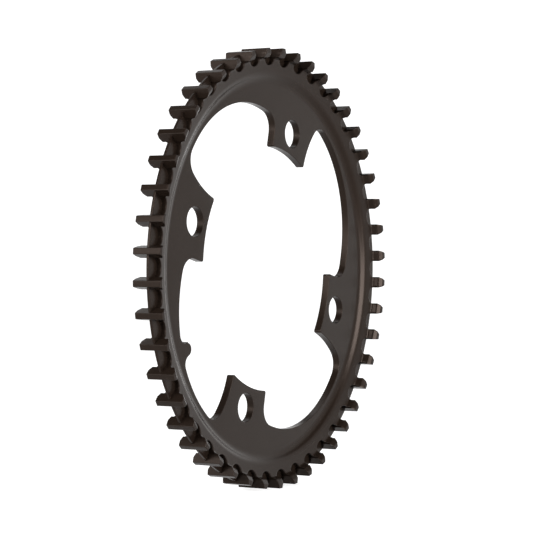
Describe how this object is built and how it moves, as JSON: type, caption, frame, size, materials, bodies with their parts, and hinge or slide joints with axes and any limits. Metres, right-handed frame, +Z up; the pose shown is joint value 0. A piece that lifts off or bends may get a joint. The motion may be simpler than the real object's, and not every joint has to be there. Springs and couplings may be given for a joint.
{
  "type": "belt drive sprocket",
  "caption": "Flat ring sprocket for a toothed bicycle belt: overhanging teeth joined by a thin centre fin, a stepped rim, and inward tabs with holes that bolt to a crank spider.",
  "frame": {"origin": "on the axle, at the centre of the bolt circle, in the plane of the tabs' outer face", "axes": "+Y along the axle from the outer side towards the bicycle, +Z up through the middle of a tooth, +X to the right as seen from the outer side"},
  "size_m": [0.1586, 0.0108, 0.1588],
  "materials": {
    "anodised_aluminium": "dark matte anodised"
  },
  "bodies": {
    "root": {"belt_sprocket": "anodised_aluminium"}
  },
  "joints": []
}
